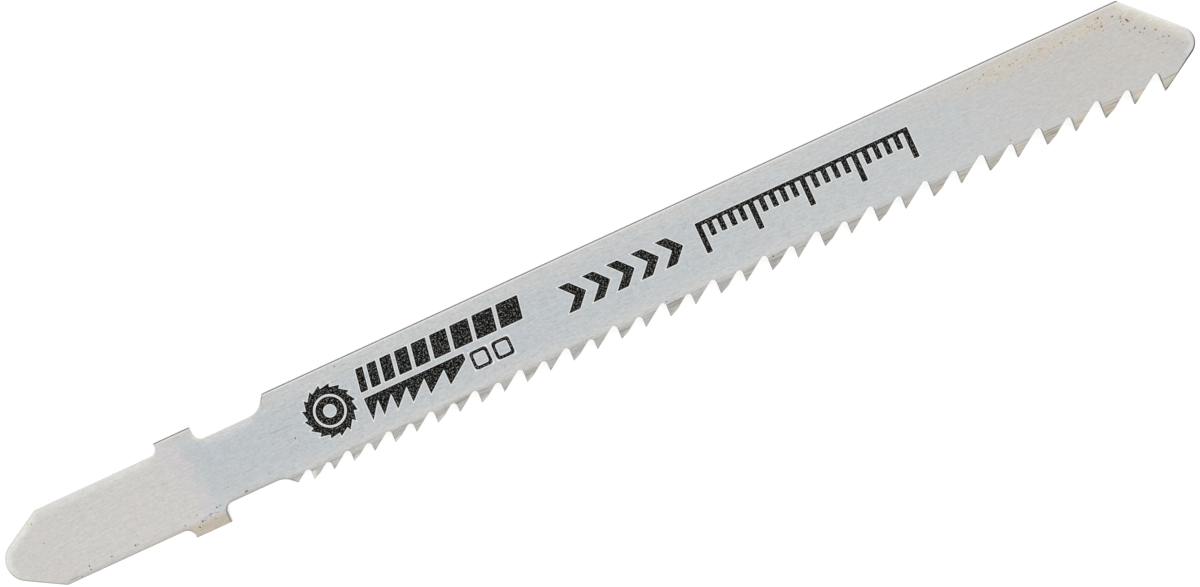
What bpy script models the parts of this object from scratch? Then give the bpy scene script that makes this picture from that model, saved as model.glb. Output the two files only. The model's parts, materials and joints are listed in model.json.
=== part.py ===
# Jigsaw blade with a T-shank, lying flat on its side. Lengths are in metres and angles in degrees.
# +X runs from the shank to the tip, +Y from the teeth to the back edge, +Z up through the thickness.
# The origin is on the underside, on the shank's centreline, level with the front of the lugs.
import bisect
import math

import bmesh
import bpy
from mathutils import Matrix, Vector

MM = 0.001

# Overall
OVERALL_LENGTH = 100.0 * MM
THICKNESS = 1.0 * MM
STRIP_EDGE_ROUND = 0.12 * MM

# Tang, and the lugs that stand out from it to the full width of the strip
TANG_LENGTH = 14.3 * MM
TANG_WIDTH = 6.3 * MM
SHANK_END_ANGLE = 30.0
SHANK_END_RADIUS = 1.73 * MM
LUG_LENGTH = 3.0 * MM
LUG_OVERHANG = 0.85 * MM
LUG_REAR_FILLET = 0.7 * MM
LUG_FRONT_FILLET = 0.65 * MM

# Neck: how far its edges step in from the strip's edges, and where it widens to the back edge
NECK_BACK_STEP = 1.25 * MM
NECK_FRONT_STEP = 1.4 * MM
SHOULDER_TO_LUGS = 6.2 * MM
SHOULDER_ANGLE = 55.0
SHOULDER_RADIUS = 1.6 * MM

# Teeth: the tips lie a little inside the strip's front edge, and their line falls towards it
TOOTH_LINE_STEP = 0.35 * MM
TOOTH_LINE_FALL = 0.21 * MM
FIRST_TOOTH_TO_LUGS = 5.54 * MM
LAST_TOOTH_TO_TIP = 3.7 * MM
FIRST_PITCH = 1.61 * MM
LAST_PITCH = 2.53 * MM
PITCH_GROWTH = 0.88
RAKE_ANGLE = 3.0
RELIEF_ANGLE = 34.8
LAND_ANGLE = 23.7
LAND_SHARE = 0.35
GULLET_RADIUS = 0.29 * MM

# The curve from the neck to the first tooth, and how far it cuts back that tooth's tip
FIRST_TOOTH_ANGLE = 45.0
FIRST_TOOTH_RADIUS = 1.6 * MM
FIRST_TOOTH_CUT = 0.36 * MM

# Side set: how far each tip is bent sideways, and how far outside the gullets the bend begins
TOOTH_SET = 0.2 * MM
BEND_MARGIN = 0.15 * MM

# Tip
TIP_CHAMFER_ANGLE = 45.4
TIP_RISE_ANGLE = 31.0
NOSE_RADIUS = 1.3 * MM

# Facets
ARC_STEP = 8.0
STRIP_EDGE_SEGMENTS = 3
SAME_PLACE = 0.001 * MM
SMOOTH_ANGLE = 30.0

STEEL_COLOUR = (0.56, 0.59, 0.62, 1.0)
STEEL_ROUGHNESS = 0.35

back_y = TANG_WIDTH / 2 + LUG_OVERHANG
tooth_line_y = TOOTH_LINE_STEP - back_y
neck_back_y = back_y - NECK_BACK_STEP
neck_front_y = NECK_FRONT_STEP - back_y
neck_middle_x = SHOULDER_TO_LUGS / 2
shank_end_x = -LUG_LENGTH - TANG_LENGTH
tip_end_x = shank_end_x + OVERALL_LENGTH


def clear_scene():
    for obj in list(bpy.data.objects):
        bpy.data.objects.remove(obj, do_unlink=True)


def slope(angle):
    return math.tan(math.radians(angle))


# The point where two lines cross, each given by a point and its direction in degrees from +X
def meet(first, first_angle, second, second_angle):
    along = Vector((1, slope(first_angle)))
    across = Vector((-math.sin(math.radians(second_angle)), math.cos(math.radians(second_angle))))
    return first + along * ((second - first).dot(across) / along.dot(across))


# The points of the arc that rounds a corner, kept inside the two edges that it joins
def round_corner(before, corner, after, radius):
    to_before = before - corner
    to_after = after - corner
    half = to_before.angle(to_after) / 2
    reach = min(radius / math.tan(half), 0.98 * to_before.length, 0.98 * to_after.length)
    to_centre = (to_before.normalized() + to_after.normalized()).normalized()
    centre = corner + to_centre * (reach / math.cos(half))
    spoke = corner + to_before.normalized() * reach - centre
    turn = math.copysign(math.pi - 2 * half, to_after.cross(to_before))
    steps = max(1, math.ceil(abs(math.degrees(turn)) / ARC_STEP))
    return [centre + Matrix.Rotation(turn * i / steps, 2) @ spoke for i in range(steps + 1)]


# Tooth tips, from the shank to the tip, with a pitch that grows steadily along the blade
def tooth_tips():
    toothed_length = tip_end_x - LAST_TOOTH_TO_TIP - FIRST_TOOTH_TO_LUGS
    power = 1 + PITCH_GROWTH
    growth = (LAST_PITCH - FIRST_PITCH) / power
    mean_pitch = FIRST_PITCH + growth
    gaps = round(toothed_length / mean_pitch)
    tips = []
    for i in range(gaps + 1):
        share = i / gaps
        run = (FIRST_PITCH * share + growth * share**power) / mean_pitch
        fall = TOOTH_LINE_FALL * run
        tips.append(Vector((FIRST_TOOTH_TO_LUGS + toothed_length * run, tooth_line_y - fall)))
    tips[0] += Vector((FIRST_TOOTH_CUT, FIRST_TOOTH_CUT * slope(RELIEF_ANGLE)))
    return tips


# Corners of one tooth, from its tip to the gullet behind it. Every second tooth has a flatter
# land behind its tip, which makes its gullet shallower.
def tooth_corners(tip, next_tip, has_land):
    corners = [(tip, 0)]
    heel = tip
    if has_land:
        land = LAND_SHARE * (next_tip.x - tip.x)
        heel = tip + Vector((land, land * slope(LAND_ANGLE)))
        corners.append((heel, 0))
    gullet = meet(heel, RELIEF_ANGLE, next_tip, 90 - RAKE_ANGLE)
    corners.append((gullet, GULLET_RADIUS))
    return corners


# Where the two tapers of the shank's end would meet if the end weren't rounded
def shank_apex():
    overhang = SHANK_END_RADIUS * (1 / math.sin(math.radians(SHANK_END_ANGLE)) - 1)
    return Vector((shank_end_x - overhang, 0))


# Corners of the shank from its taper to the neck, on the side that the signs of the heights give
def shank_corners(tang_y, lug_y, neck_y):
    taper_end_x = shank_apex().x + abs(tang_y) / slope(SHANK_END_ANGLE)
    return [
        (Vector((taper_end_x, tang_y)), 0),
        (Vector((-LUG_LENGTH, tang_y)), LUG_REAR_FILLET),
        (Vector((-LUG_LENGTH, lug_y)), 0),
        (Vector((0, lug_y)), 0),
        (Vector((0, neck_y)), LUG_FRONT_FILLET),
    ]


# Where the chamfer and the rising lower edge would meet if the nose weren't rounded
def nose_apex(last_tip):
    half = math.radians(TIP_CHAMFER_ANGLE + TIP_RISE_ANGLE) / 2
    lean = math.radians(TIP_CHAMFER_ANGLE - TIP_RISE_ANGLE) / 2
    x = tip_end_x - NOSE_RADIUS + NOSE_RADIUS * math.cos(lean) / math.sin(half)
    return Vector((x, last_tip.y + (x - last_tip.x) * slope(TIP_RISE_ANGLE)))


# All corners with their radii, anticlockwise from the shank's end
def outline_corners(tips):
    neck_end_x = tips[0].x - (neck_front_y - tips[0].y) / slope(FIRST_TOOTH_ANGLE)
    nose = nose_apex(tips[-1])
    chamfer_start_x = nose.x - (back_y - nose.y) / slope(TIP_CHAMFER_ANGLE)
    shoulder_foot_x = SHOULDER_TO_LUGS - NECK_BACK_STEP / slope(SHOULDER_ANGLE)
    corners = [(shank_apex(), SHANK_END_RADIUS)]
    corners += shank_corners(-TANG_WIDTH / 2, -back_y, neck_front_y)
    corners.append((Vector((neck_end_x, neck_front_y)), FIRST_TOOTH_RADIUS))
    for i, (tip, next_tip) in enumerate(zip(tips, tips[1:])):
        corners += tooth_corners(tip, next_tip, has_land=i % 2 == 1)
    corners.append((tips[-1], 0))
    corners.append((nose, NOSE_RADIUS))
    corners.append((Vector((chamfer_start_x, back_y)), 0))
    corners.append((Vector((SHOULDER_TO_LUGS, back_y)), 0))
    corners.append((Vector((shoulder_foot_x, neck_back_y)), SHOULDER_RADIUS))
    corners += reversed(shank_corners(TANG_WIDTH / 2, back_y, neck_back_y))
    return corners


def outline_points(corners):
    points = []
    for i, (corner, radius) in enumerate(corners):
        before = corners[i - 1][0]
        after = corners[(i + 1) % len(corners)][0]
        points += round_corner(before, corner, after, radius) if radius else [corner]
    return points


# The outline as one flat face, drawn out to the strip's thickness
def punched_blank(points):
    mesh = bmesh.new()
    underside = mesh.faces.new([mesh.verts.new((point.x, point.y, 0)) for point in points])
    drawn = bmesh.ops.extrude_face_region(mesh, geom=[underside])
    upper_verts = [item for item in drawn["geom"] if isinstance(item, bmesh.types.BMVert)]
    bmesh.ops.translate(mesh, verts=upper_verts, vec=(0, 0, THICKNESS))
    bmesh.ops.recalc_face_normals(mesh, faces=mesh.faces)
    return mesh


# Rounds the edges that the rolled strip leaves: along the back, and at the lugs' outer ends
def round_strip_edges(mesh):
    strip_edges = []
    for edge in mesh.edges:
        on_strip_edge = all(abs(abs(vert.co.y) - back_y) < SAME_PLACE for vert in edge.verts)
        lengthwise = abs(edge.verts[0].co.z - edge.verts[1].co.z) < SAME_PLACE
        if on_strip_edge and lengthwise:
            strip_edges.append(edge)
    bmesh.ops.bevel(
        mesh,
        geom=strip_edges,
        offset=STRIP_EDGE_ROUND,
        segments=STRIP_EDGE_SEGMENTS,
        profile=0.5,
        affect="EDGES",
        clamp_overlap=True,
    )


def cut_across(mesh, faces, point, normal):
    edges = {edge for face in faces for edge in face.edges}
    verts = {vert for face in faces for vert in face.verts}
    bmesh.ops.bisect_plane(
        mesh,
        geom=[*verts, *edges, *faces],
        plane_co=(point.x, point.y, 0),
        plane_no=(normal.x, normal.y, 0),
        dist=SAME_PLACE,
    )


# The innermost point of each gullet, where its arc is farthest from the tooth line
def gullet_roots(tips):
    roots = []
    for i, (tip, next_tip) in enumerate(zip(tips, tips[1:])):
        corners = tooth_corners(tip, next_tip, has_land=i % 2 == 1)
        gullet, radius = corners[-1]
        arc = round_corner(corners[-2][0], gullet, next_tip, radius)
        roots.append(max(arc, key=lambda point: point.y))
    return roots


# Bends the teeth to alternate sides about a line that runs just outside the shallow gullets. The
# first tooth is cut short, so its bend is its neighbour's.
def set_teeth(mesh, tips):
    roots = gullet_roots(tips)
    shallow_roots = roots[1::2]
    bend_start = shallow_roots[0] - Vector((0, BEND_MARGIN))
    bend_line = (shallow_roots[-1] - shallow_roots[0]).normalized()
    outward = Vector((bend_line.y, -bend_line.x))
    cut_across(mesh, mesh.faces[:], Vector((neck_middle_x, 0)), Vector((1, 0)))
    body = [face for face in mesh.faces if face.calc_center_median().x > neck_middle_x]
    cut_across(mesh, body, bend_start, outward)
    bounds = [root.x for root in roots]
    for vert in mesh.verts:
        depth = (vert.co.xy - bend_start).dot(outward)
        if depth < SAME_PLACE or vert.co.x < neck_middle_x:
            continue
        tooth = bisect.bisect(bounds, vert.co.x)
        tip_depth = (tips[max(tooth, 1)] - bend_start).dot(outward)
        side = 1 if tooth % 2 else -1
        vert.co.z += side * TOOTH_SET * depth / tip_depth


def steel():
    material = bpy.data.materials.new("tool_steel")
    material.use_nodes = True
    shader = material.node_tree.nodes["Principled BSDF"]
    shader.inputs["Base Color"].default_value = STEEL_COLOUR
    shader.inputs["Roughness"].default_value = STEEL_ROUGHNESS
    shader.inputs["Metallic"].default_value = 1.0
    return material


def make_blade(collection):
    tips = tooth_tips()
    mesh = punched_blank(outline_points(outline_corners(tips)))
    round_strip_edges(mesh)
    set_teeth(mesh, tips)
    data = bpy.data.meshes.new("blade")
    mesh.to_mesh(data)
    mesh.free()
    data.materials.append(steel())
    data.shade_smooth()
    data.set_sharp_from_angle(angle=math.radians(SMOOTH_ANGLE))
    collection.objects.link(bpy.data.objects.new("blade", data))


def main():
    clear_scene()
    collection = bpy.data.collections.new("Jigsaw blade")
    bpy.context.scene.collection.children.link(collection)
    make_blade(collection)


main()
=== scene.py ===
import json
import math
import random

import bmesh
import bpy
from mathutils import Matrix, Vector
from mathutils.bvhtree import BVHTree


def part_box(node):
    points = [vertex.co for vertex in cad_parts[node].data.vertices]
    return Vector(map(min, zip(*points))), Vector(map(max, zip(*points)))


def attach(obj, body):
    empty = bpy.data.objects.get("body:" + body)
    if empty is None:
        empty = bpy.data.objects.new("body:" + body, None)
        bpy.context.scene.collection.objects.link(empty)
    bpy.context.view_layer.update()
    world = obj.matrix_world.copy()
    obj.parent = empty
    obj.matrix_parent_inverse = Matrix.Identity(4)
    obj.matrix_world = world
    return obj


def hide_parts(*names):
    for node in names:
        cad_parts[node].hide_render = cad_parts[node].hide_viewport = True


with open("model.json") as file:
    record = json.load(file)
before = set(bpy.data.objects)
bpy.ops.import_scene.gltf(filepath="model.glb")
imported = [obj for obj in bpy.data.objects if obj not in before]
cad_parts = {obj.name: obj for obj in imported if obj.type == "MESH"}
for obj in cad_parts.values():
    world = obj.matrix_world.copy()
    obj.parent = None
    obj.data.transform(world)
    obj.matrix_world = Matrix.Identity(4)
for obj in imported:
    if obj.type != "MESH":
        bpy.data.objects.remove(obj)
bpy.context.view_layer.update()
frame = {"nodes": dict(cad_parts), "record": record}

# Everything is placed in the blade's own frame: +X from shank to tip, +Y to the back edge, +Z up.
# "along" is measured in mm from the shank's end and "down" in mm from the back edge to the teeth.
mm = 0.001
lowest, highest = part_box("blade")
solid = frame["nodes"]["blade"].data
mountPlaces = {mount["name"]: Vector(mount["pos_m"]) for mount in frame["record"]["mounts"]}
upperSide = mountPlaces["body_upper_side"].z


def place(along, down, height=0.0):
    return Vector((lowest.x + along * mm, highest.y - down * mm, upperSide + height * mm))


# A colour as a screen shows it, 0 to 255, in the linear values that Blender's sockets take
def colour(red, green, blue):
    def linear(value):
        share = value / 255
        return share / 12.92 if share <= 0.04045 else ((share + 0.055) / 1.055) ** 2.4

    return (linear(red), linear(green), linear(blue), 1.0)


def addObject(name, data):
    item = bpy.data.objects.new(name, data)
    bpy.context.scene.collection.objects.link(item)
    return item


# A piece of the blade: it has one finish and rides on the blade's body
def addPiece(name, data, finish):
    data.materials.clear()
    data.materials.append(finish)
    piece = addObject(name, data)
    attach(piece, "root")
    return piece


def toMesh(name, mesh):
    data = bpy.data.meshes.new(name)
    mesh.to_mesh(data)
    mesh.free()
    return data


# Node helpers. Those that make a node return the socket that carries its result.

def setInputs(tree, node, inputs):
    for name, value in dict(inputs).items():
        if isinstance(value, bpy.types.NodeSocket):
            tree.links.new(value, node.inputs[name])
        else:
            node.inputs[name].default_value = value


def addNode(tree, kind, inputs=(), output=0, **settings):
    node = tree.nodes.new(kind)
    for name, value in settings.items():
        setattr(node, name, value)
    setInputs(tree, node, inputs)
    return node.outputs[output]


def calc(tree, operation, first, second=0.0, clamp=False):
    return addNode(tree, "ShaderNodeMath", {0: first, 1: second}, operation=operation, use_clamp=clamp)


def plus(tree, first, second):
    return calc(tree, "ADD", first, second)


def minus(tree, first, second):
    return calc(tree, "SUBTRACT", first, second)


def times(tree, first, *others):
    for other in others:
        first = calc(tree, "MULTIPLY", first, other)
    return first


def ramp(tree, value, low, high, toLow=0.0, toHigh=1.0):
    inputs = {"Value": value, "From Min": low, "From Max": high, "To Min": toLow, "To Max": toHigh}
    return addNode(tree, "ShaderNodeMapRange", inputs, interpolation_type="SMOOTHSTEP")


# 1 between the two ends, with a soft edge of the given width
def band(tree, value, low, high, soft):
    rise = ramp(tree, value, low - soft, low + soft)
    fall = ramp(tree, value, high - soft, high + soft, 1.0, 0.0)
    return times(tree, rise, fall)


def vectorCalc(tree, operation, first, second=(0.0, 0.0, 0.0), output="Vector"):
    inputs = {0: first, 1: second}
    return addNode(tree, "ShaderNodeVectorMath", inputs, output=output, operation=operation)


def split(tree, vector):
    return addNode(tree, "ShaderNodeSeparateXYZ", {0: vector}).node.outputs


def inMillimetres(tree):
    objectCoords = addNode(tree, "ShaderNodeTexCoord", output="Object")
    return vectorCalc(tree, "MULTIPLY", objectCoords, (1 / mm,) * 3)


# How far a place is from a centre, in mm
def distanceFrom(tree, along, down, centreAlong, centreDown):
    spot = addNode(tree, "ShaderNodeCombineXYZ", {0: along, 1: down, 2: 0.0})
    return vectorCalc(tree, "DISTANCE", spot, (centreAlong, centreDown, 0.0), "Value")


def grain(tree, coords, scale, detail=2.0, roughness=0.5, seed=0.0):
    inputs = {
        "Vector": vectorCalc(tree, "MULTIPLY", coords, scale),
        "W": seed,
        "Scale": 1.0,
        "Detail": detail,
        "Roughness": roughness,
    }
    return addNode(tree, "ShaderNodeTexNoise", inputs, noise_dimensions="4D")


def grey(tree, value):
    return addNode(tree, "ShaderNodeCombineColor", {0: value, 1: value, 2: value})


def mixColour(tree, share, first, second, blend="MIX"):
    inputs = {0: share, 6: first, 7: second}  # 6 and 7 are the node's colour inputs
    return addNode(
        tree, "ShaderNodeMix", inputs, output=2, data_type="RGBA", blend_type=blend, clamp_factor=True
    )


# The colour underneath, covered by a tone where the share is 1
def painted(tree, under, share, tone):
    return mixColour(tree, share, under, colour(*tone))


# Tones set at places of a value that runs between the two ends
def toneAt(tree, value, ends, stops):
    low, high = ends
    inputs = {"Value": value, "From Min": low, "From Max": high}
    node = tree.nodes.new("ShaderNodeValToRGB")
    tree.links.new(addNode(tree, "ShaderNodeMapRange", inputs), node.inputs[0])
    elements = node.color_ramp.elements
    while len(elements) > 1:
        elements.remove(elements[0])
    elements[0].position = (stops[0][0] - low) / (high - low)
    elements[0].color = colour(*stops[0][1])
    for position, tone in stops[1:]:
        elements.new((position - low) / (high - low)).color = colour(*tone)
    return node.outputs[0]


def newMaterial(name):
    material = bpy.data.materials.new(name)
    material.use_nodes = True
    tree = material.node_tree
    shader = tree.nodes["Principled BSDF"]
    return material, tree, shader


# Steel: one finish with zones, since the whole blade is one strip. In the values below, places are in
# mm, a range is (from, to) or (from, to, share at from, share at to), a band is (from, to, softness),
# and a grain is (scale, detail, roughness, seed).

strip = {
    "shank": (205, 203, 200),
    "lilac": (201, 198, 202),
    "neck": (190, 195, 198),
    "body": (194, 197, 198),
    "tip": (198, 195, 191),
    "clouds": ((0.5, 0.4, 1.0), 3.0),
    "middle": 4.0,
    "borderLean": 0.16,
    "borderClouds": 1.4,
    "lilacRange": (14.5, 15.8, 0.0, 0.55),
    "neckRange": (16.0, 17.2),
    "bodyRange": (40.0, 78.0),
    "tipRange": (76.0, 93.0),
    "tipClouds": 10.0,
    "palerSide": (199, 200, 199),
    "backSide": (2.0, 0.5),
    "toothSide": (5.0, 6.5),
    "sidesAlong": (60.0, 84.0, 0.85, 0.35),
    "warmerSide": (206, 201, 191),
    "warmerDown": (2.2, 0.6),
    "warmerAlong": (74.0, 88.0),
    "warmth": 0.75,
    "drift": ((0.4, 0.7, 1.0), 2.0, 0.5, 3.0),
    "driftRange": (0.3, 0.7),
    "warmDrift": (1.014, 0.996, 0.992, 1.0),
    "coolDrift": (0.986, 1.002, 1.010, 1.0),
}


# Four tones along the strip: warm shank, bluish neck, neutral body, warm tip. Both its sides are paler
# than its middle, and warmer by the back edge near the tip.
def paintStrip(tree, coords, along, down):
    cloudy = minus(tree, grain(tree, coords, *strip["clouds"]), 0.5)
    lean = times(tree, minus(tree, down, strip["middle"]), strip["borderLean"])
    leaning = plus(tree, minus(tree, along, lean), times(tree, cloudy, strip["borderClouds"]))
    pastShank = ramp(tree, leaning, *strip["neckRange"])
    base = painted(tree, colour(*strip["shank"]), ramp(tree, leaning, *strip["lilacRange"]), strip["lilac"])
    base = painted(tree, base, pastShank, strip["neck"])
    base = painted(tree, base, ramp(tree, along, *strip["bodyRange"]), strip["body"])
    wandering = plus(tree, along, times(tree, cloudy, strip["tipClouds"]))
    base = painted(tree, base, ramp(tree, wandering, *strip["tipRange"]), strip["tip"])

    backSide = ramp(tree, down, *strip["backSide"])
    toothSide = ramp(tree, down, *strip["toothSide"])
    sides = times(tree, calc(tree, "MAXIMUM", backSide, toothSide), ramp(tree, along, *strip["sidesAlong"]))
    base = painted(tree, base, times(tree, sides, pastShank), strip["palerSide"])
    warm = times(tree, ramp(tree, down, *strip["warmerDown"]), ramp(tree, along, *strip["warmerAlong"]))
    base = painted(tree, base, times(tree, warm, strip["warmth"]), strip["warmerSide"])
    drift = ramp(tree, grain(tree, coords, *strip["drift"]), *strip["driftRange"])
    tint = mixColour(tree, drift, strip["warmDrift"], strip["coolDrift"])
    return mixColour(tree, 1.0, base, tint, "MULTIPLY")


paleLines = {
    # A painted highlight: the bright line beside the back edge
    "byBack": (216, 215, 210),
    "byBackDown": (0.05, 0.20, 0.05),
    "byBackAlong": (20.0, 80.0, 0.65, 0.90),
    "seam": (203, 203, 200),
    "seamDown": (6.25, 6.75, 0.15),
    "seamAlong": (26.0, 74.0, 4.0),
    "seamGrain": ((0.12, 3.0, 1.0), 2.0, 0.5, 13.0),
    "seamBreaks": (0.30, 0.60, 0.0, 0.55),
}


# Pale lines: a painted highlight beside the back edge, and the line where the harder strip is welded on
def paintPaleLines(tree, base, coords, along, down):
    byBack = ramp(tree, along, *paleLines["byBackAlong"])
    byBack = times(tree, band(tree, down, *paleLines["byBackDown"]), byBack)
    base = painted(tree, base, byBack, paleLines["byBack"])
    broken = ramp(tree, grain(tree, coords, *paleLines["seamGrain"]), *paleLines["seamBreaks"])
    seam = times(tree, band(tree, down, *paleLines["seamDown"]), band(tree, along, *paleLines["seamAlong"]))
    return painted(tree, base, times(tree, seam, broken), paleLines["seam"])


shankOutline = {"middle": 4.0, "half": 3.15, "slopeEnd": 3.72, "slope": (0.5, 0.866), "endRadius": 1.73,
                "endStops": (0.8, 1.2, 0.0, 100.0)}


# The distance in mm from the shank's outline: its straight sides, its two slopes and its round end
def fromShankEdge(tree, along, down):
    side = calc(tree, "ABSOLUTE", minus(tree, down, shankOutline["middle"]))
    straight = minus(tree, shankOutline["half"], side)
    sine, cosine = shankOutline["slope"]
    slope = times(tree, minus(tree, along, shankOutline["slopeEnd"]), sine)
    slope = plus(tree, slope, times(tree, straight, cosine))
    endRadius = shankOutline["endRadius"]
    end = minus(tree, endRadius, distanceFrom(tree, along, side, endRadius, 0.0))
    end = plus(tree, end, ramp(tree, along, *shankOutline["endStops"]))
    return calc(tree, "MINIMUM", calc(tree, "MINIMUM", straight, slope), end)


paleEdges = {
    # A painted highlight along the edges that face the back and over the neck; painted shade under the neck
    "pale": (226, 225, 220),
    "reach": (0.85, 0.15),
    "frontDown": (5.0, 6.6),
    "frontAlong": (3.4, 5.0),
    "beforeLugs": (14.0, 13.0),
    "weakerTang": (3.4, 4.4, 1.0, 0.55),
    "backHalf": (5.8, 3.4),
    "neck": (17.8, 22.2, 0.4),
    "neckPale": (2.15, 1.35, 0.0, 0.45),
    "neckDull": (6.05, 6.60, 0.0, 0.7),
    "dull": (186, 184, 180),
}


# A painted highlight round the shank's edges, but not on its front, and over the neck, and painted shade
# under the neck
def paintPaleEdges(tree, base, along, down):
    front = ramp(tree, down, *paleEdges["frontDown"])
    front = times(tree, front, ramp(tree, along, *paleEdges["frontAlong"]))
    edge = ramp(tree, fromShankEdge(tree, along, down), *paleEdges["reach"])
    pale = times(
        tree,
        edge,
        minus(tree, 1.0, front),
        ramp(tree, along, *paleEdges["beforeLugs"]),
        ramp(tree, along, *paleEdges["weakerTang"]),
        ramp(tree, down, *paleEdges["backHalf"]),
    )
    neck = band(tree, along, *paleEdges["neck"])
    pale = plus(tree, pale, times(tree, neck, ramp(tree, down, *paleEdges["neckPale"])))
    base = painted(tree, base, pale, paleEdges["pale"])
    return painted(tree, base, times(tree, neck, ramp(tree, down, *paleEdges["neckDull"])), paleEdges["dull"])


# The long chamfer's place on the solid: a point at its foot and the direction that it faces
def chamferOnSolid():
    faces = [face for face in solid.polygons if face.normal.x > 0.5 and face.normal.y > 0.5]
    face = max(faces, key=lambda one: one.area)
    return solid.vertices[face.vertices[0]].co / mm, face.normal.copy()


tipBands = {
    "cream": ((0.00, (232, 231, 223)), (0.22, (223, 221, 210)), (0.50, (214, 210, 200))),
    "creamFade": (1.3, 0.3),
    "creamAlong": (94.0, 95.5),
    "ring": (213, 214, 216),
    "ringCentre": (98.70, 4.91),
    "ringReach": (0.80, 1.25, 0.12),
    "ringAlong": (98.6, 99.3, 0.0, 0.75),
}


# The cream band beside the chamfer, and the cool one inside the nose
def paintTipBands(tree, base, coords, along, down):
    foot, outward = chamferOnSolid()
    inward = vectorCalc(tree, "DOT_PRODUCT", vectorCalc(tree, "SUBTRACT", coords, foot), -outward, "Value")
    cream = ramp(tree, inward, *tipBands["creamFade"])
    cream = times(tree, cream, ramp(tree, along, *tipBands["creamAlong"]))
    base = mixColour(tree, cream, base, toneAt(tree, inward, (0.0, 1.0), tipBands["cream"]))
    ring = band(tree, distanceFrom(tree, along, down, *tipBands["ringCentre"]), *tipBands["ringReach"])
    ring = times(tree, ring, ramp(tree, along, *tipBands["ringAlong"]))
    return painted(tree, base, ring, tipBands["ring"])


stains = {
    "tone": (206, 195, 178),
    "depth": 0.62,
    "patches": ((0.9, 1.8, 1.0), 3.0, 0.6, 7.0),
    "patchRange": (0.34, 0.60),
    "backAlong": (82.5, 94.0, 2.0),
    "backDown": (0.65, 1.55, 0.40),
    "backSlope": 0.03,
    "slopeStart": 90.0,
    "spots": ((93.75, 0.90, 0.95), (95.95, 1.60, 0.85), (97.45, 3.25, 0.55), (98.25, 4.12, 0.40),
              (3.02, 1.70, 0.40)),
    "spotCore": 0.3,
    "dash": (128, 114, 94),
    "dashCells": (3.0, 6.5, 0.0),
    "dashSize": (0.36, 0.16),
    "dashChoice": (0.15, 0.60),
    "dashAlong": (83.0, 87.0, 0.3, 0.75),
}


# Stains round the rust, with fine brown dashes by the back edge near the tip
def paintStains(tree, base, coords, along, down):
    slope = times(tree, minus(tree, along, stains["slopeStart"]), stains["backSlope"])
    byBack = band(tree, plus(tree, down, slope), *stains["backDown"])
    byBack = times(tree, band(tree, along, *stains["backAlong"]), byBack)
    stained = byBack
    for spotAlong, spotDown, reach in stains["spots"]:
        away = distanceFrom(tree, along, down, spotAlong, spotDown)
        stained = calc(tree, "MAXIMUM", stained, ramp(tree, away, reach, reach * stains["spotCore"]))
    patch = ramp(tree, grain(tree, coords, *stains["patches"]), *stains["patchRange"])
    base = painted(tree, base, times(tree, stained, patch, stains["depth"]), stains["tone"])

    spread = vectorCalc(tree, "MULTIPLY", coords, stains["dashCells"])
    cells = addNode(tree, "ShaderNodeTexVoronoi", {"Vector": spread, "Scale": 1.0})
    choice = addNode(tree, "ShaderNodeSeparateColor", {0: cells.node.outputs["Color"]})
    dashes = times(tree, ramp(tree, cells, *stains["dashSize"]), ramp(tree, choice, *stains["dashChoice"]))
    shown = times(tree, byBack, ramp(tree, along, *stains["dashAlong"]))
    return painted(tree, base, times(tree, dashes, shown), stains["dash"])


toothStrip = {
    "tones": ((13.0, (190, 187, 179)), (14.5, (193, 183, 169)), (18.0, (193, 183, 169)),
              (21.0, (192, 190, 186)), (38.0, (178, 176, 171)), (70.0, (177, 175, 170)),
              (90.0, (193, 185, 171)), (93.4, (192, 182, 169)), (94.6, (205, 197, 181)),
              (97.5, (204, 199, 185))),
    "starts": ((13.0, 6.80), (15.0, 6.98), (17.5, 6.98), (21.0, 6.70), (70.0, 6.70), (88.0, 6.78)),
    "fade": (0.0, 0.60),
    "lines": ((0.22, 9.0, 1.0), 3.0, 0.6, 11.0),
    "raggedness": 0.4,
    "streak": (140, 134, 122),
    "streakLines": (0.50, 0.64),
    "streakInto": (0.10, 0.40),
    "streakAlong": (13.0, 23.0, 0.0, 0.85),
    "tips": (112, 106, 102),
    "tipsDown": (7.5, 7.8),
    "tipsAlong": (22.0, 23.0, 0.0, 0.8),
}


# The tooth strip: a beige band with grinding lines along it and darker tips
def paintToothStrip(tree, base, coords, along, down):
    starts = toothStrip["starts"]
    start = starts[0][1]
    for (fromAlong, before), (toAlong, after) in zip(starts, starts[1:]):
        start = plus(tree, ramp(tree, along, fromAlong, toAlong, 0.0, after - before), start)
    lines = grain(tree, coords, *toothStrip["lines"])
    into = minus(tree, plus(tree, down, times(tree, lines, toothStrip["raggedness"])), start)
    tone = toneAt(tree, along, (0.0, 100.0), toothStrip["tones"])
    base = mixColour(tree, ramp(tree, into, *toothStrip["fade"]), base, tone)
    streaks = times(
        tree,
        ramp(tree, lines, *toothStrip["streakLines"]),
        ramp(tree, into, *toothStrip["streakInto"]),
        ramp(tree, along, *toothStrip["streakAlong"]),
    )
    base = painted(tree, base, streaks, toothStrip["streak"])
    tips = times(tree, ramp(tree, down, *toothStrip["tipsDown"]), ramp(tree, along, *toothStrip["tipsAlong"]))
    return painted(tree, base, tips, toothStrip["tips"])


# Layers are (scale, depth, seed)
brushing = {
    "layers": (
        ((0.25, 5.0, 1.0), 0.14, 17.0),
        ((1.3, 6.0, 1.0), 0.34, 23.0),
        ((4.0, 8.0, 1.0), 0.40, 29.0),
    ),
    "roughness": 0.6,
    "printedPart": (19.0, 75.0, 4.0),
    "coarser": 0.30,
}


# Brushing along the strip: long streaks, short ones and fine grain, all coarser on the printed part
def brushedStreaks(tree, coords, along):
    streaks = 0.0
    for scale, depth, seed in brushing["layers"]:
        layer = minus(tree, grain(tree, coords, scale, roughness=brushing["roughness"], seed=seed), 0.5)
        streaks = plus(tree, times(tree, layer, depth), streaks)
    coarser = times(tree, band(tree, along, *brushing["printedPart"]), brushing["coarser"])
    return times(tree, streaks, plus(tree, coarser, 1.0))


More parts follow.
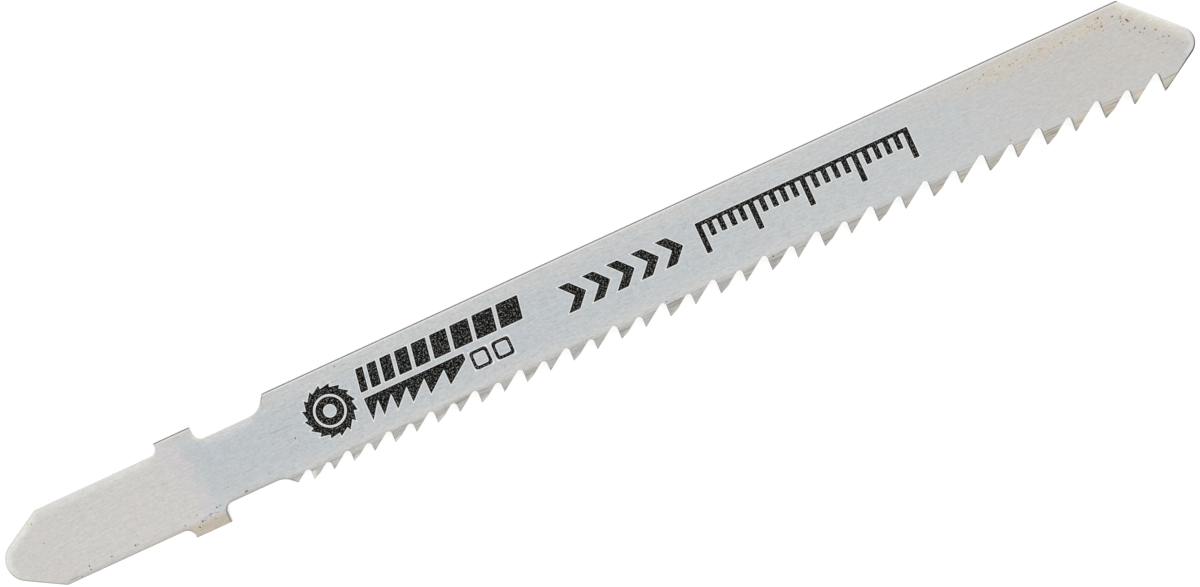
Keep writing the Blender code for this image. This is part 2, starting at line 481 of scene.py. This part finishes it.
# Ranges named toBack, toFront, toTip and toShank are of the direction that the wall under a rim faces
rims = {
    # Every rim tone below is painted light or shade, set by the way the rim faces: painted shade towards the
    # teeth, round the nose, on the rake edges and the lugs' front; painted highlights towards the back, along
    # the back edge and on the chamfer
    "lower": (168, 167, 164),
    "upper": (217, 216, 211),
    "lowerToUpper": (-0.8, 0.3),
    "back": (229, 229, 226),
    "backToBack": (0.90, 0.97),
    "backAlong": (22.0, 24.0),
    # A painted highlight on the chamfer's rim
    "chamfer": (231, 230, 222),
    "chamferToBack": (0.60, 0.90, 0.10),
    "chamferAlong": (95.4, 95.8),
    "nose": ((-0.86, (42, 39, 36)), (-0.65, (98, 94, 96)), (-0.25, (132, 126, 130)),
             (0.10, (168, 164, 168)), (0.55, (218, 217, 212))),
    "noseAlong": (96.3, 96.6),
    "noseToBack": (0.60, 0.30),
    # Painted shade on the rake edges' rims
    "rake": (140, 139, 147),
    "rakeToShank": (-0.70, -0.90),
    "rakeAlong": (20.0, 24.0),
    "lugFront": (150, 144, 138),
    "lugFrontToTip": (0.60, 0.90),
    "lugFrontAlong": (18.2, 17.8),
    "lugFrontDown": (6.4, 6.9),
    "shownFrom": 0.995,
    "shownFully": 0.93,
    "wider": 0.15,
    "widerToFront": (-0.2, -0.6),
    "widerAlong": (5.0, 4.0),
    "neckAlong": (17.6, 23.0, 0.3),
    "neckToBack": (0.3, 0.6),
    "neckFainter": 0.65,
    "tangAlong": (4.0, 13.6, 0.3),
    "tangToFront": (-0.90, -0.97),
    "tangDown": (7.12, 7.06),
}

walls = {
    "punched": (196, 192, 186),
    # A painted highlight on the chamfer's wall
    "chamfer": (230, 227, 217),
    # Painted shade on the rake walls
    "rake": (100, 98, 106),
    "upright": (0.60, 0.25),
    # The rolled edge's rims: painted shade over its own dark tone, and a painted contact shadow at the foot
    "rolledRim": (40, 38, 40),
    "rolled": (150, 147, 144),
    "rolledDown": (0.08, 0.02),
    "rolledUpright": (0.94, 0.80),
    "rolledMiddle": (0.20, 0.80),
    "rolledSoft": 0.16,
}


# The rims carry painted light and shade, set by the way each faces: painted highlights where they look
# back and on the chamfer, painted shade towards the teeth, on the rake edges and the lugs' front, and
# the darkest painted shade round the nose. The walls are bare and satin where they were punched, with a
# painted highlight on the chamfer's wall and painted shade on the faces that cut.
def paintRimsAndWalls(tree, base, normal, along, down, upward):
    sideways = vectorCalc(tree, "NORMALIZE", vectorCalc(tree, "MULTIPLY", normal, (1, 1, 0)))
    toTip, toBack, _ = split(tree, sideways)
    atChamfer = band(tree, toBack, *rims["chamferToBack"])
    atChamfer = times(tree, atChamfer, ramp(tree, along, *rims["chamferAlong"]))
    atNose = times(tree, ramp(tree, along, *rims["noseAlong"]), ramp(tree, toBack, *rims["noseToBack"]))
    atBack = times(tree, ramp(tree, toBack, *rims["backToBack"]), ramp(tree, along, *rims["backAlong"]))
    atRake = times(tree, ramp(tree, toTip, *rims["rakeToShank"]), ramp(tree, along, *rims["rakeAlong"]))
    atLugFront = times(
        tree,
        ramp(tree, toTip, *rims["lugFrontToTip"]),
        ramp(tree, along, *rims["lugFrontAlong"]),
        ramp(tree, down, *rims["lugFrontDown"]),
    )
    rim = painted(tree, colour(*rims["lower"]), ramp(tree, toBack, *rims["lowerToUpper"]), rims["upper"])
    rim = painted(tree, rim, atBack, rims["back"])
    rim = painted(tree, rim, atChamfer, rims["chamfer"])
    rim = mixColour(tree, atNose, rim, toneAt(tree, toBack, (-1.0, 1.0), rims["nose"]))
    rim = painted(tree, rim, atRake, rims["rake"])
    rim = painted(tree, rim, atLugFront, rims["lugFront"])

    # The painted rim tones look wider round the nose and under the shank's end, fainter over the neck,
    # and they don't show along the tang's front
    wider = times(tree, ramp(tree, toBack, *rims["widerToFront"]), ramp(tree, along, *rims["widerAlong"]))
    wider = times(tree, calc(tree, "MAXIMUM", atNose, wider), rims["wider"])
    shown = ramp(tree, upward, rims["shownFrom"], minus(tree, rims["shownFully"], wider))
    fainter = times(tree, band(tree, along, *rims["neckAlong"]), ramp(tree, toBack, *rims["neckToBack"]))
    fainter = times(tree, fainter, rims["neckFainter"])
    underTang = times(
        tree,
        band(tree, along, *rims["tangAlong"]),
        ramp(tree, toBack, *rims["tangToFront"]),
        ramp(tree, down, *rims["tangDown"]),
    )
    shown = times(tree, shown, minus(tree, 1.0, fainter), minus(tree, 1.0, underTang))
    tone = mixColour(tree, shown, base, rim)

    wall = painted(tree, colour(*walls["punched"]), atChamfer, walls["chamfer"])
    wall = painted(tree, wall, atRake, walls["rake"])
    return mixColour(tree, ramp(tree, upward, *walls["upright"]), tone, wall)


# The rolled edge of the strip: a dull grey wall between two dark rims, painted shade over the edge's
# own dark tone along its rounded top, and a painted contact shadow at its foot
def paintRolledEdge(tree, base, down, height, upward):
    rolled = times(tree, ramp(tree, down, *walls["rolledDown"]), ramp(tree, upward, *walls["rolledUpright"]))
    low, high = (share * upperSide / mm for share in walls["rolledMiddle"])
    middle = band(tree, height, low, high, walls["rolledSoft"])
    tone = painted(tree, colour(*walls["rolledRim"]), middle, walls["rolled"])
    return mixColour(tree, rolled, base, tone)


# How the brushing shows in the steel's tone, its gloss and its relief
satin = {"level": 0.94, "roughness": 0.36, "swing": 0.8, "bump": 0.5, "bumpHeight": 0.004}


def makeSteel():
    material, tree, shader = newMaterial("brushedSteel")
    coords = inMillimetres(tree)
    x, y, height = split(tree, coords)
    along = minus(tree, x, lowest.x / mm)
    down = minus(tree, highest.y / mm, y)
    normal = addNode(tree, "ShaderNodeTexCoord", output="Normal")
    upward = calc(tree, "ABSOLUTE", split(tree, normal)[2])

    base = paintStrip(tree, coords, along, down)
    # With a painted highlight beside the back edge
    base = paintPaleLines(tree, base, coords, along, down)
    # With a painted highlight along the shank's back edges and over the neck, and painted shade under it
    base = paintPaleEdges(tree, base, along, down)
    base = paintTipBands(tree, base, coords, along, down)
    base = paintStains(tree, base, coords, along, down)
    base = paintToothStrip(tree, base, coords, along, down)
    streaks = brushedStreaks(tree, coords, along)
    base = mixColour(tree, 1.0, base, grey(tree, plus(tree, streaks, satin["level"])), "MULTIPLY")
    # Painted light and shade on the rims and walls
    base = paintRimsAndWalls(tree, base, normal, along, down, upward)
    # Painted shade on the rolled edge's rims
    base = paintRolledEdge(tree, base, down, height, upward)

    bump = {"Strength": satin["bump"], "Distance": satin["bumpHeight"] * mm, "Height": streaks}
    setInputs(tree, shader, {
        "Base Color": base,
        "Metallic": 1.0,
        "Roughness": plus(tree, times(tree, streaks, satin["swing"]), satin["roughness"]),
        "Normal": addNode(tree, "ShaderNodeBump", bump),
    })
    return material


# The blade: the CAD solid's own form, with its punched rims broken. Widths are in mm, angles in degrees.

blade = {
    "shankRim": 0.12,
    "toothRim": 0.035,
    "tipRim": 0.15,
    "segments": 2,
    "firstTooth": 23.2,
    "lastTooth": 96.3,
    "wallFacesUp": 0.3,
    "sideFacesUp": 0.9,
    "joined": 0.01,
    "flatAngle": 0.2,
    "sharpAngle": 30,
    "welded": 0.0002,
    "evening": 80,
}


# A rim is an edge between an upright wall and one of the flat sides
def isRim(edge):
    if len(edge.link_faces) != 2:
        return False
    wall, side = sorted(abs(face.normal.z) for face in edge.link_faces)
    return wall < blade["wallFacesUp"] and side > blade["sideFacesUp"]


# How far a rim is broken. It changes only at a corner of the outline.
def rimWidth(edge):
    along = ((edge.verts[0].co + edge.verts[1].co) / 2).x - lowest.x
    wall = min(edge.link_faces, key=lambda face: abs(face.normal.z)).normal
    onShoulder = wall.y > 0.2 and wall.x < 0
    onNose = along > blade["lastTooth"] * mm and wall.x > 0
    onChamfer = wall.y > 0.5 and wall.x > 0.2
    if along < blade["firstTooth"] * mm or onShoulder:
        return blade["shankRim"]
    return blade["tipRim"] if onNose or onChamfer else blade["toothRim"]


def makeBlade(finish):
    mesh = bmesh.new()
    mesh.from_mesh(solid)
    bmesh.ops.remove_doubles(mesh, verts=mesh.verts, dist=blade["joined"] * mm)
    flat = math.radians(blade["flatAngle"])
    bmesh.ops.dissolve_limit(mesh, angle_limit=flat, verts=mesh.verts, edges=mesh.edges)
    weight = mesh.edges.layers.float.new("bevel_weight_edge")
    widest = max(blade["shankRim"], blade["toothRim"], blade["tipRim"])
    for edge in mesh.edges:
        if isRim(edge):
            edge[weight] = rimWidth(edge) / widest
    data = toMesh("jigsawBlade", mesh)
    data.shade_smooth()
    data.set_sharp_from_angle(angle=math.radians(blade["sharpAngle"]))
    piece = addPiece("jigsawBlade", data, finish)
    broken = piece.modifiers.new("rims", "BEVEL")
    broken.limit_method = "WEIGHT"
    broken.width = widest * mm
    broken.segments = blade["segments"]
    broken.use_clamp_overlap = False
    welded = piece.modifiers.new("welded", "WELD")
    welded.merge_threshold = blade["welded"] * mm
    evened = piece.modifiers.new("evened", "WEIGHTED_NORMAL")
    evened.keep_sharp = True
    evened.weight = blade["evening"]
    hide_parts("blade")


# Printed marks: plain shapes in black ink, a hair above the steel. Heights and widths are in mm.

ink = {
    "thickness": 0.010,
    "sunk": 0.002,
    "black": (4, 4, 5),
    "worn": (176, 177, 171),
    "grain": ((8.0, 8.0, 1.0), 1.0, 0.5, 5.0),
    "specular": 0.02,
    "edgeWear": (0.40, 0.90, 0.0, 0.25),
    "edgeRoughness": 0.55,
    "middleInset": 0.075,
    "middleProud": 0.003,
    "middleWear": (0.47, 0.84),
    "clouds": ((1.2, 1.2, 1.0), 2.0, 0.5, 9.0),
    "cloudRange": (0.35, 0.70, 0.8, 1.0),
    "middleRoughness": (0.0, 1.0, 0.62, 0.42),
    "bump": 0.4,
    "bumpHeight": 0.004,
    "softInside": 0.1,
    "joined": 0.001,
}

halo = {"width": 0.070, "thickness": 0.003, "tone": (224, 225, 223), "roughness": 0.4,
        "grain": ((1.3, 6.0, 1.0), 2.0, 0.6, 23.0), "grainRange": (0.3, 0.7, 0.90, 1.03)}


def makeInkEdge():
    material, tree, shader = newMaterial("blackInkEdge")
    worn = ramp(tree, grain(tree, inMillimetres(tree), *ink["grain"]), *ink["edgeWear"])
    setInputs(tree, shader, {
        "Base Color": painted(tree, colour(*ink["black"]), worn, ink["worn"]),
        "Specular IOR Level": ink["specular"],
        "Roughness": ink["edgeRoughness"],
    })
    return material


def makeInkMiddle():
    material, tree, shader = newMaterial("blackInkMiddle")
    coords = inMillimetres(tree)
    wear = ramp(tree, grain(tree, coords, *ink["grain"]), *ink["middleWear"])
    worn = times(tree, wear, ramp(tree, grain(tree, coords, *ink["clouds"]), *ink["cloudRange"]))
    bump = {"Strength": ink["bump"], "Distance": ink["bumpHeight"] * mm, "Height": wear}
    setInputs(tree, shader, {
        "Base Color": painted(tree, colour(*ink["black"]), worn, ink["worn"]),
        "Specular IOR Level": ink["specular"],
        "Roughness": ramp(tree, worn, *ink["middleRoughness"]),
        "Normal": addNode(tree, "ShaderNodeBump", bump),
    })
    return material


# The steel that the marking has cleaned and paled, right beside the ink
def makeHalo():
    material, tree, shader = newMaterial("paledSteel")
    pale = ramp(tree, grain(tree, inMillimetres(tree), *halo["grain"]), *halo["grainRange"])
    setInputs(tree, shader, {
        "Base Color": mixColour(tree, 1.0, colour(*halo["tone"]), grey(tree, pale), "MULTIPLY"),
        "Metallic": 1.0,
        "Roughness": halo["roughness"],
    })
    return material


# Outlines are lists of (along, down) points; an outline inside another one is a hole
def printLayer(name, outlines, finish, grown, bottom, top):
    curve = bpy.data.curves.new(name, "CURVE")
    curve.dimensions = "2D"
    curve.fill_mode = "BOTH"
    curve.extrude = (top - bottom) * mm / 2
    curve.offset = grown * mm
    for outline in outlines:
        spline = curve.splines.new("POLY")
        spline.points.add(len(outline) - 1)
        for target, (along, down) in zip(spline.points, outline):
            spot = place(along, down)
            target.co = (spot.x, spot.y, 0, 1)
        spline.use_cyclic_u = True
    drawing = addObject(name + "Drawing", curve)
    bpy.context.view_layer.update()
    graph = bpy.context.evaluated_depsgraph_get()
    data = bpy.data.meshes.new_from_object(drawing.evaluated_get(graph))
    bpy.data.objects.remove(drawing, do_unlink=True)
    data.transform(Matrix.Translation((0, 0, upperSide + (top + bottom) * mm / 2)))
    mesh = bmesh.new()
    mesh.from_mesh(data)
    bmesh.ops.remove_doubles(mesh, verts=mesh.verts, dist=ink["joined"] * mm)
    bmesh.ops.recalc_face_normals(mesh, faces=mesh.faces)
    mesh.to_mesh(data)
    mesh.free()
    addPiece(name, data, finish)


# Takes the corners off an outline, as ink spreads into them
def softened(points, softness, steps=3, most=0.45):
    result = []
    for i, corner in enumerate(points):
        corner = Vector(corner)
        before = Vector(points[i - 1]) - corner
        after = Vector(points[(i + 1) % len(points)]) - corner
        reach = min(softness, most * before.length, most * after.length)
        start = corner + before.normalized() * reach
        end = corner + after.normalized() * reach
        for step in range(steps + 1):
            share = step / steps
            point = start.lerp(corner, share).lerp(corner.lerp(end, share), share)
            result.append((point.x, point.y))
    return result


# A mark is three layers: paled steel round it, its black edge, and its speckled middle
def printMark(name, shapes, finishes):
    sharp = [points for points, softness in shapes]
    soft = [softened(points, softness) if softness else points for points, softness in shapes]
    inner = [one if softness > ink["softInside"] else points for one, (points, softness) in zip(soft, shapes)]
    sunk, top = ink["sunk"], ink["thickness"]
    printLayer(name + "Halo", sharp, finishes["halo"], halo["width"], -sunk, halo["thickness"])
    printLayer(name, soft, finishes["edge"], 0.0, -sunk, top)
    proud = top + ink["middleProud"]
    printLayer(name + "Middle", inner, finishes["middle"], -ink["middleInset"], top - sunk, proud)


def onCircle(along, down, distance, turn):
    return along + distance * math.cos(turn), down + distance * math.sin(turn)


# The size of one in a row that grows evenly from its first to its last
def grownSize(first, last, i, count):
    return first + (last - first) * (i / (count - 1))


toothedDisc = {"along": 27.75, "down": 3.36, "radius": 2.16, "root": 1.84, "teeth": 16,
               "circles": (1.30, 1.12, 0.52), "sides": 48, "softness": 0.05}


def printToothedDisc(finishes):
    centre = (toothedDisc["along"], toothedDisc["down"])
    teeth, sides = toothedDisc["teeth"], toothedDisc["sides"]
    rim = []
    for i in range(teeth):
        for distance in (toothedDisc["radius"], toothedDisc["root"]):
            rim.append(onCircle(*centre, distance, 2 * math.pi * i / teeth))
    shapes = [(rim, toothedDisc["softness"])]
    for distance in toothedDisc["circles"]:
        shapes.append(([onCircle(*centre, distance, 2 * math.pi * i / sides) for i in range(sides)], 0))
    printMark("printedDisc", shapes, finishes)


growingBars = {"start": 30.5, "top": 1.26, "bottom": 3.12, "count": 9, "narrow": 0.62, "wide": 1.86,
               "gap": 0.32, "slant": 0.34, "softness": 0.08}


def printGrowingBars(finishes):
    top, bottom, slant = (growingBars[name] for name in ("top", "bottom", "slant"))
    shapes = []
    left = growingBars["start"]
    for i in range(growingBars["count"]):
        width = grownSize(growingBars["narrow"], growingBars["wide"], i, growingBars["count"])
        corners = [(left + slant, top), (left + slant + width, top), (left + width, bottom), (left, bottom)]
        shapes.append((corners, growingBars["softness"]))
        left += width + growingBars["gap"]
    printMark("printedBars", shapes, finishes)


growingTeeth = {"start": 30.5, "top": 3.60, "rootLine": 4.12, "bottom": 5.44, "count": 6, "first": 0.95,
                "last": 1.85, "softness": 0.06, "frames": 2, "frameSize": 1.5, "frameGap": 0.36,
                "frameStroke": 0.26, "frameSoftness": (0.3, 0.17)}


def printGrowingTeeth(finishes):
    start, top, bottom = (growingTeeth[name] for name in ("start", "top", "bottom"))
    first, last, count = (growingTeeth[name] for name in ("first", "last", "count"))
    pitches = [grownSize(first, last, i, count) for i in range(count)]
    along = start + sum(pitches)
    teeth = [(start, top), (along, top)]
    for pitch in reversed(pitches):
        teeth.append((along, growingTeeth["rootLine"]))
        along -= pitch
        teeth.append((along, bottom))
    shapes = [(teeth, growingTeeth["softness"])]
    side = growingTeeth["frameSize"]
    above = (top + bottom - side) / 2
    left = start + sum(pitches) + growingTeeth["frameGap"]
    for _ in range(growingTeeth["frames"]):
        for inset, softness in zip((0.0, growingTeeth["frameStroke"]), growingTeeth["frameSoftness"]):
            near, far = inset, side - inset
            corners = [(near, near), (far, near), (far, far), (near, far)]
            shapes.append(([(left + x, above + y) for x, y in corners], softness))
        left += side + growingTeeth["frameGap"]
    printMark("printedTeeth", shapes, finishes)


chevrons = {"start": 47.6, "top": 2.06, "bottom": 4.26, "count": 5, "pitch": 2.05, "stroke": 0.95,
            "reach": 1.0, "softness": 0.07}


def printChevrons(finishes):
    top, bottom, reach = (chevrons[name] for name in ("top", "bottom", "reach"))
    middle = (top + bottom) / 2
    shapes = []
    for i in range(chevrons["count"]):
        left = chevrons["start"] + i * chevrons["pitch"]
        right = left + chevrons["stroke"]
        corners = [
            (left, top),
            (right, top),
            (right + reach, middle),
            (right, bottom),
            (left, bottom),
            (left + reach, middle),
        ]
        shapes.append((corners, chevrons["softness"]))
    printMark("printedChevrons", shapes, finishes)


tickScale = {"start": 59.2, "end": 77.1, "top": 2.02, "rail": 0.32, "ticks": 21, "stroke": 0.46,
             "depths": (2.5, 1.4, 1.4, 1.4, 1.4), "softness": 0.05}


def printTickScale(finishes):
    start, end, top = (tickScale[name] for name in ("start", "end", "top"))
    stroke, ticks, depths = (tickScale[name] for name in ("stroke", "ticks", "depths"))
    rail = top + tickScale["rail"]
    points = [(start, top), (end, top)]
    for i in reversed(range(ticks)):
        left = start + (end - start - stroke) * i / (ticks - 1)
        right = left + stroke
        foot = top + depths[i % len(depths)]
        if i < ticks - 1:
            points.append((right, rail))
        points += [(right, foot), (left, foot)]
        if i:
            points.append((left, rail))
    printMark("printedScale", [(points, tickScale["softness"])], finishes)


# Rust specks, pits and scratches on the upper side: (along, down, length, width, turn in degrees)

specks = {
    "rust": {
        "dark": (66, 54, 40),
        "pale": (112, 96, 74),
        "spots": (
            (93.84, 0.61, 0.20, 0.14, 0), (93.83, 1.30, 0.20, 0.12, 15), (94.88, 0.96, 0.24, 0.11, 10),
            (95.79, 1.66, 0.18, 0.26, 20), (95.86, 1.79, 0.16, 0.12, 0), (95.74, 1.58, 0.08, 0.12, 0),
            (96.12, 2.47, 0.34, 0.08, 28), (96.34, 2.93, 0.15, 0.13, 0), (96.77, 2.82, 0.13, 0.14, 0),
            (82.55, 1.33, 0.12, 0.09, 0), (84.10, 0.88, 0.16, 0.11, 45), (85.45, 0.84, 0.11, 0.09, 0),
            (86.90, 0.94, 0.12, 0.10, 0),
        ),
    },
    "faintRust": {
        "dark": (126, 113, 98),
        "pale": (158, 146, 130),
        "spots": (
            (93.19, 0.91, 0.12, 0.09, 0), (93.58, 0.89, 0.12, 0.09, 0), (93.96, 1.04, 0.14, 0.10, 0),
            (93.27, 1.26, 0.15, 0.12, 0), (93.80, 1.66, 0.12, 0.10, 0), (95.39, 1.34, 0.22, 0.10, 0),
            (95.47, 1.20, 0.20, 0.08, 0), (95.35, 1.58, 0.14, 0.10, 0), (95.39, 1.87, 0.16, 0.10, 10),
            (95.04, 2.13, 0.12, 0.11, 0), (95.65, 2.48, 0.13, 0.11, 0), (96.52, 3.09, 0.10, 0.10, 0),
            (97.50, 3.25, 0.24, 0.14, -15), (97.34, 3.98, 0.18, 0.08, 0), (97.82, 3.98, 0.19, 0.13, 15),
            (98.23, 4.13, 0.16, 0.15, 0), (97.85, 4.55, 0.13, 0.11, 0), (97.13, 3.78, 0.10, 0.09, 0),
            (97.26, 5.08, 0.12, 0.09, 0), (99.00, 5.04, 0.12, 0.10, 0), (83.68, 1.08, 0.12, 0.10, 0),
            (84.95, 1.27, 0.08, 0.07, 0), (84.68, 0.70, 0.08, 0.06, 0), (86.50, 1.05, 0.30, 0.05, 0),
            (87.05, 1.60, 0.10, 0.08, 0), (87.55, 0.70, 0.08, 0.06, 0), (3.17, 1.69, 0.15, 0.12, 20),
            (83.90, 6.34, 0.14, 0.12, 0), (87.00, 4.74, 0.11, 0.08, 0),
        ),
    },
    "pits": {
        "dark": (58, 56, 52),
        "pale": (104, 101, 96),
        "spots": (
            (5.86, 6.48, 0.16, 0.14, 0), (9.76, 6.53, 0.18, 0.13, 0), (15.26, 7.00, 0.20, 0.14, -20),
            (19.30, 6.32, 0.34, 0.11, 12), (24.43, 4.17, 0.22, 0.11, 40), (29.50, 0.38, 0.20, 0.07, -50),
            (14.87, 7.33, 0.20, 0.11, -55), (5.87, 6.80, 0.15, 0.12, 0), (54.76, 6.55, 0.13, 0.11, 0),
            (63.68, 6.80, 0.15, 0.14, 0),
        ),
    },
    "faintPits": {
        "dark": (112, 111, 107),
        "pale": (148, 147, 142),
        "spots": (
            (7.75, 6.55, 0.18, 0.14, 0), (10.02, 6.56, 0.13, 0.09, 0), (15.48, 7.04, 0.13, 0.10, 0),
            (16.70, 6.48, 0.17, 0.14, 0), (16.99, 6.45, 0.16, 0.12, 0), (16.28, 7.24, 0.20, 0.06, -25),
            (15.15, 7.28, 0.12, 0.08, 0), (15.03, 6.38, 0.14, 0.11, 0), (13.90, 6.78, 0.16, 0.09, 10),
            (18.18, 5.42, 0.16, 0.11, 30), (21.46, 5.80, 0.14, 0.11, 0), (16.05, 6.76, 0.40, 0.09, 8),
            (16.00, 6.94, 0.12, 0.08, 0), (5.00, 6.96, 0.16, 0.11, 0), (24.40, 4.78, 0.12, 0.10, 0),
            (3.42, 3.43, 0.14, 0.11, 0), (10.15, 5.90, 0.08, 0.07, 0), (15.60, 6.88, 0.45, 0.050, 6),
            (16.60, 6.86, 0.45, 0.050, -8), (4.30, 6.88, 1.30, 0.050, 0),
        ),
    },
    "scratches": {
        "dark": (128, 130, 130),
        "pale": (156, 158, 158),
        "spots": (
            (23.80, 3.10, 2.20, 0.035, 2), (23.10, 3.02, 1.20, 0.030, 1), (13.70, 3.14, 0.90, 0.030, 3),
            (12.90, 2.98, 0.70, 0.025, 2), (21.90, 3.00, 0.60, 0.030, -4), (41.40, 5.86, 0.50, 0.035, 60),
            (88.30, 3.30, 1.10, 0.020, 6), (69.80, 5.40, 1.30, 0.020, 3),
        ),
    },
}

speckForm = {"sides": 10, "size": 0.90, "swell": (0.75, 1.2), "crown": 0.004, "edge": 0.0005,
             "mottle": ((4.0, 4.0, 1.0), 2.0, 0.6, 2.0), "mottleRange": (0.35, 0.65), "roughness": 0.8}


def makeSpeckFinish(name, dark, pale):
    material, tree, shader = newMaterial(name)
    mottled = ramp(tree, grain(tree, inMillimetres(tree), *speckForm["mottle"]), *speckForm["mottleRange"])
    tone = painted(tree, colour(*dark), mottled, pale)
    setInputs(tree, shader, {"Base Color": tone, "Roughness": speckForm["roughness"]})
    return material


surface = BVHTree.FromPolygons([vertex.co for vertex in solid.vertices],
                               [face.vertices for face in solid.polygons])


# A point at the given height over the blade's surface, also over a bent tooth
def onSurface(along, down, height):
    wellAbove = place(along, down, 5.0)
    hit = surface.ray_cast(wellAbove, (0, 0, -1))[0]
    return hit + Vector((0, 0, height * mm))


def makeSpecks(name, spots, finish, seed):
    chance = random.Random(seed)
    mesh = bmesh.new()
    for along, down, length, width, turn in spots:
        sine, cosine = math.sin(math.radians(turn)), math.cos(math.radians(turn))
        crown = mesh.verts.new(onSurface(along, down, speckForm["crown"]))
        rim = []
        for i in range(speckForm["sides"]):
            step = 2 * math.pi * i / speckForm["sides"]
            swell = chance.uniform(*speckForm["swell"]) * speckForm["size"]
            x = math.cos(step) * length / 2 * swell
            y = math.sin(step) * width / 2 * swell
            onAlong = along + x * cosine - y * sine
            onDown = down - x * sine - y * cosine
            rim.append(mesh.verts.new(onSurface(onAlong, onDown, speckForm["edge"])))
        for i, corner in enumerate(rim):
            mesh.faces.new((crown, corner, rim[(i + 1) % len(rim)]))
        mesh.faces.new(reversed(rim))
    bmesh.ops.recalc_face_normals(mesh, faces=mesh.faces)
    addPiece(name, toMesh(name, mesh), finish)


# Floor, light and camera, in metres. The floor lies just under the lowest tooth tip.

studio = {"floorSize": 6.0, "floorGap": 0.02 * mm, "floorWhite": 0.50, "floorRoughness": 0.9,
          "cameraLift": 0.70, "skyLight": 0.90}
plainWhite = (1.0, 1.0, 1.0, 1.0)


# 1 for what the camera sees directly, in a reflection or through glass
def seenDirectly(tree):
    rays = addNode(tree, "ShaderNodeLightPath").node.outputs
    seen = plus(tree, rays["Is Camera Ray"], rays["Is Glossy Ray"])
    return calc(tree, "ADD", seen, rays["Is Transmission Ray"], clamp=True)


def makeFloor():
    half = studio["floorSize"] / 2
    height = lowest.z - studio["floorGap"]
    corners = [(x * half, y * half, height) for x, y in ((-1, -1), (1, -1), (1, 1), (-1, 1))]
    data = bpy.data.meshes.new("floor")
    data.from_pydata(corners, [], [(0, 1, 2, 3)])
    material, tree, shader = newMaterial("paleFloor")
    setInputs(tree, shader, {
        "Base Color": (studio["floorWhite"],) * 3 + (1.0,),
        "Roughness": studio["floorRoughness"],
        "Specular IOR Level": 0.0,
        "Emission Color": plainWhite,
        "Emission Strength": times(tree, seenDirectly(tree), studio["cameraLift"]),
    })
    data.materials.append(material)
    addObject("floor", data)


def makeWorld():
    world = bpy.data.worlds.new("studio")
    world.use_nodes = True
    tree = world.node_tree
    levels = {"Value": seenDirectly(tree), "To Min": studio["skyLight"], "To Max": 1.0}
    strength = addNode(tree, "ShaderNodeMapRange", levels)
    setInputs(tree, tree.nodes["Background"], {"Color": plainWhite, "Strength": strength})
    bpy.context.scene.world = world


lamps = {
    "keyLamp": {"from": (0.02, -0.24, 0.50), "size": 0.40, "power": 0.13},
    "fillLamp": {"from": (-0.08, 0.28, 0.50), "size": 0.40, "power": 0.07},
}


def makeLamps():
    aim = (lowest + highest) / 2
    for name, lamp in lamps.items():
        light = bpy.data.lights.new(name, "AREA")
        light.size = lamp["size"]
        light.energy = lamp["power"]
        holder = addObject(name, light)
        holder.location = aim + Vector(lamp["from"])
        holder.rotation_mode = "QUATERNION"
        holder.rotation_quaternion = (aim - holder.location).to_track_quat("-Z", "Y")
        holder.visible_camera = False


# The camera looks almost straight down. The picture's centre and scale are the photograph's.
shot = {"lens": 150.0, "sensor": 36.0, "pixels": 1200.0, "pixelsPerMm": 13.02, "turn": 24.695,
        "tipTilt": 1.44, "backTilt": 3.975, "centreAlong": 50.40, "centreDown": 3.843,
        "clipStart": 0.01, "clipEnd": 20.0}


def makeCamera():
    camera = bpy.data.cameras.new("camera")
    camera.lens = shot["lens"]
    camera.sensor_width = shot["sensor"]
    camera.clip_start = shot["clipStart"]
    camera.clip_end = shot["clipEnd"]
    distance = shot["lens"] / shot["sensor"] * shot["pixels"] / shot["pixelsPerMm"] * mm
    lean = [math.tan(math.radians(shot[name])) for name in ("tipTilt", "backTilt")]
    turn = math.radians(shot["turn"])
    toCamera = Vector((*lean, 1)).normalized()
    acrossBlade = toCamera.cross(Vector((1, 0, 0))).normalized()
    alongBlade = acrossBlade.cross(toCamera)
    right = math.cos(turn) * alongBlade - math.sin(turn) * acrossBlade
    up = math.sin(turn) * alongBlade + math.cos(turn) * acrossBlade
    axes = Matrix((right, up, toCamera)).transposed()
    centre = place(shot["centreAlong"], shot["centreDown"])
    holder = addObject("camera", camera)
    holder.matrix_world = Matrix.Translation(centre + toCamera * distance) @ axes.to_4x4()
    bpy.context.scene.camera = holder


bpy.context.scene.view_settings.view_transform = "Standard"
makeCamera()
makeFloor()
makeWorld()
makeLamps()
print("studio: camera, floor, sky and lamps are in place")

makeBlade(makeSteel())
print("blade: steel with broken rims stands for the solid")

inkFinishes = {"halo": makeHalo(), "edge": makeInkEdge(), "middle": makeInkMiddle()}
printToothedDisc(inkFinishes)
printGrowingBars(inkFinishes)
printGrowingTeeth(inkFinishes)
printChevrons(inkFinishes)
printTickScale(inkFinishes)
print("print: five plain marks in black ink")

for seed, (kind, values) in enumerate(specks.items(), start=1):
    makeSpecks(kind + "Specks", values["spots"], makeSpeckFinish(kind, values["dark"], values["pale"]), seed)
print("wear: rust specks, pits and scratches are on")
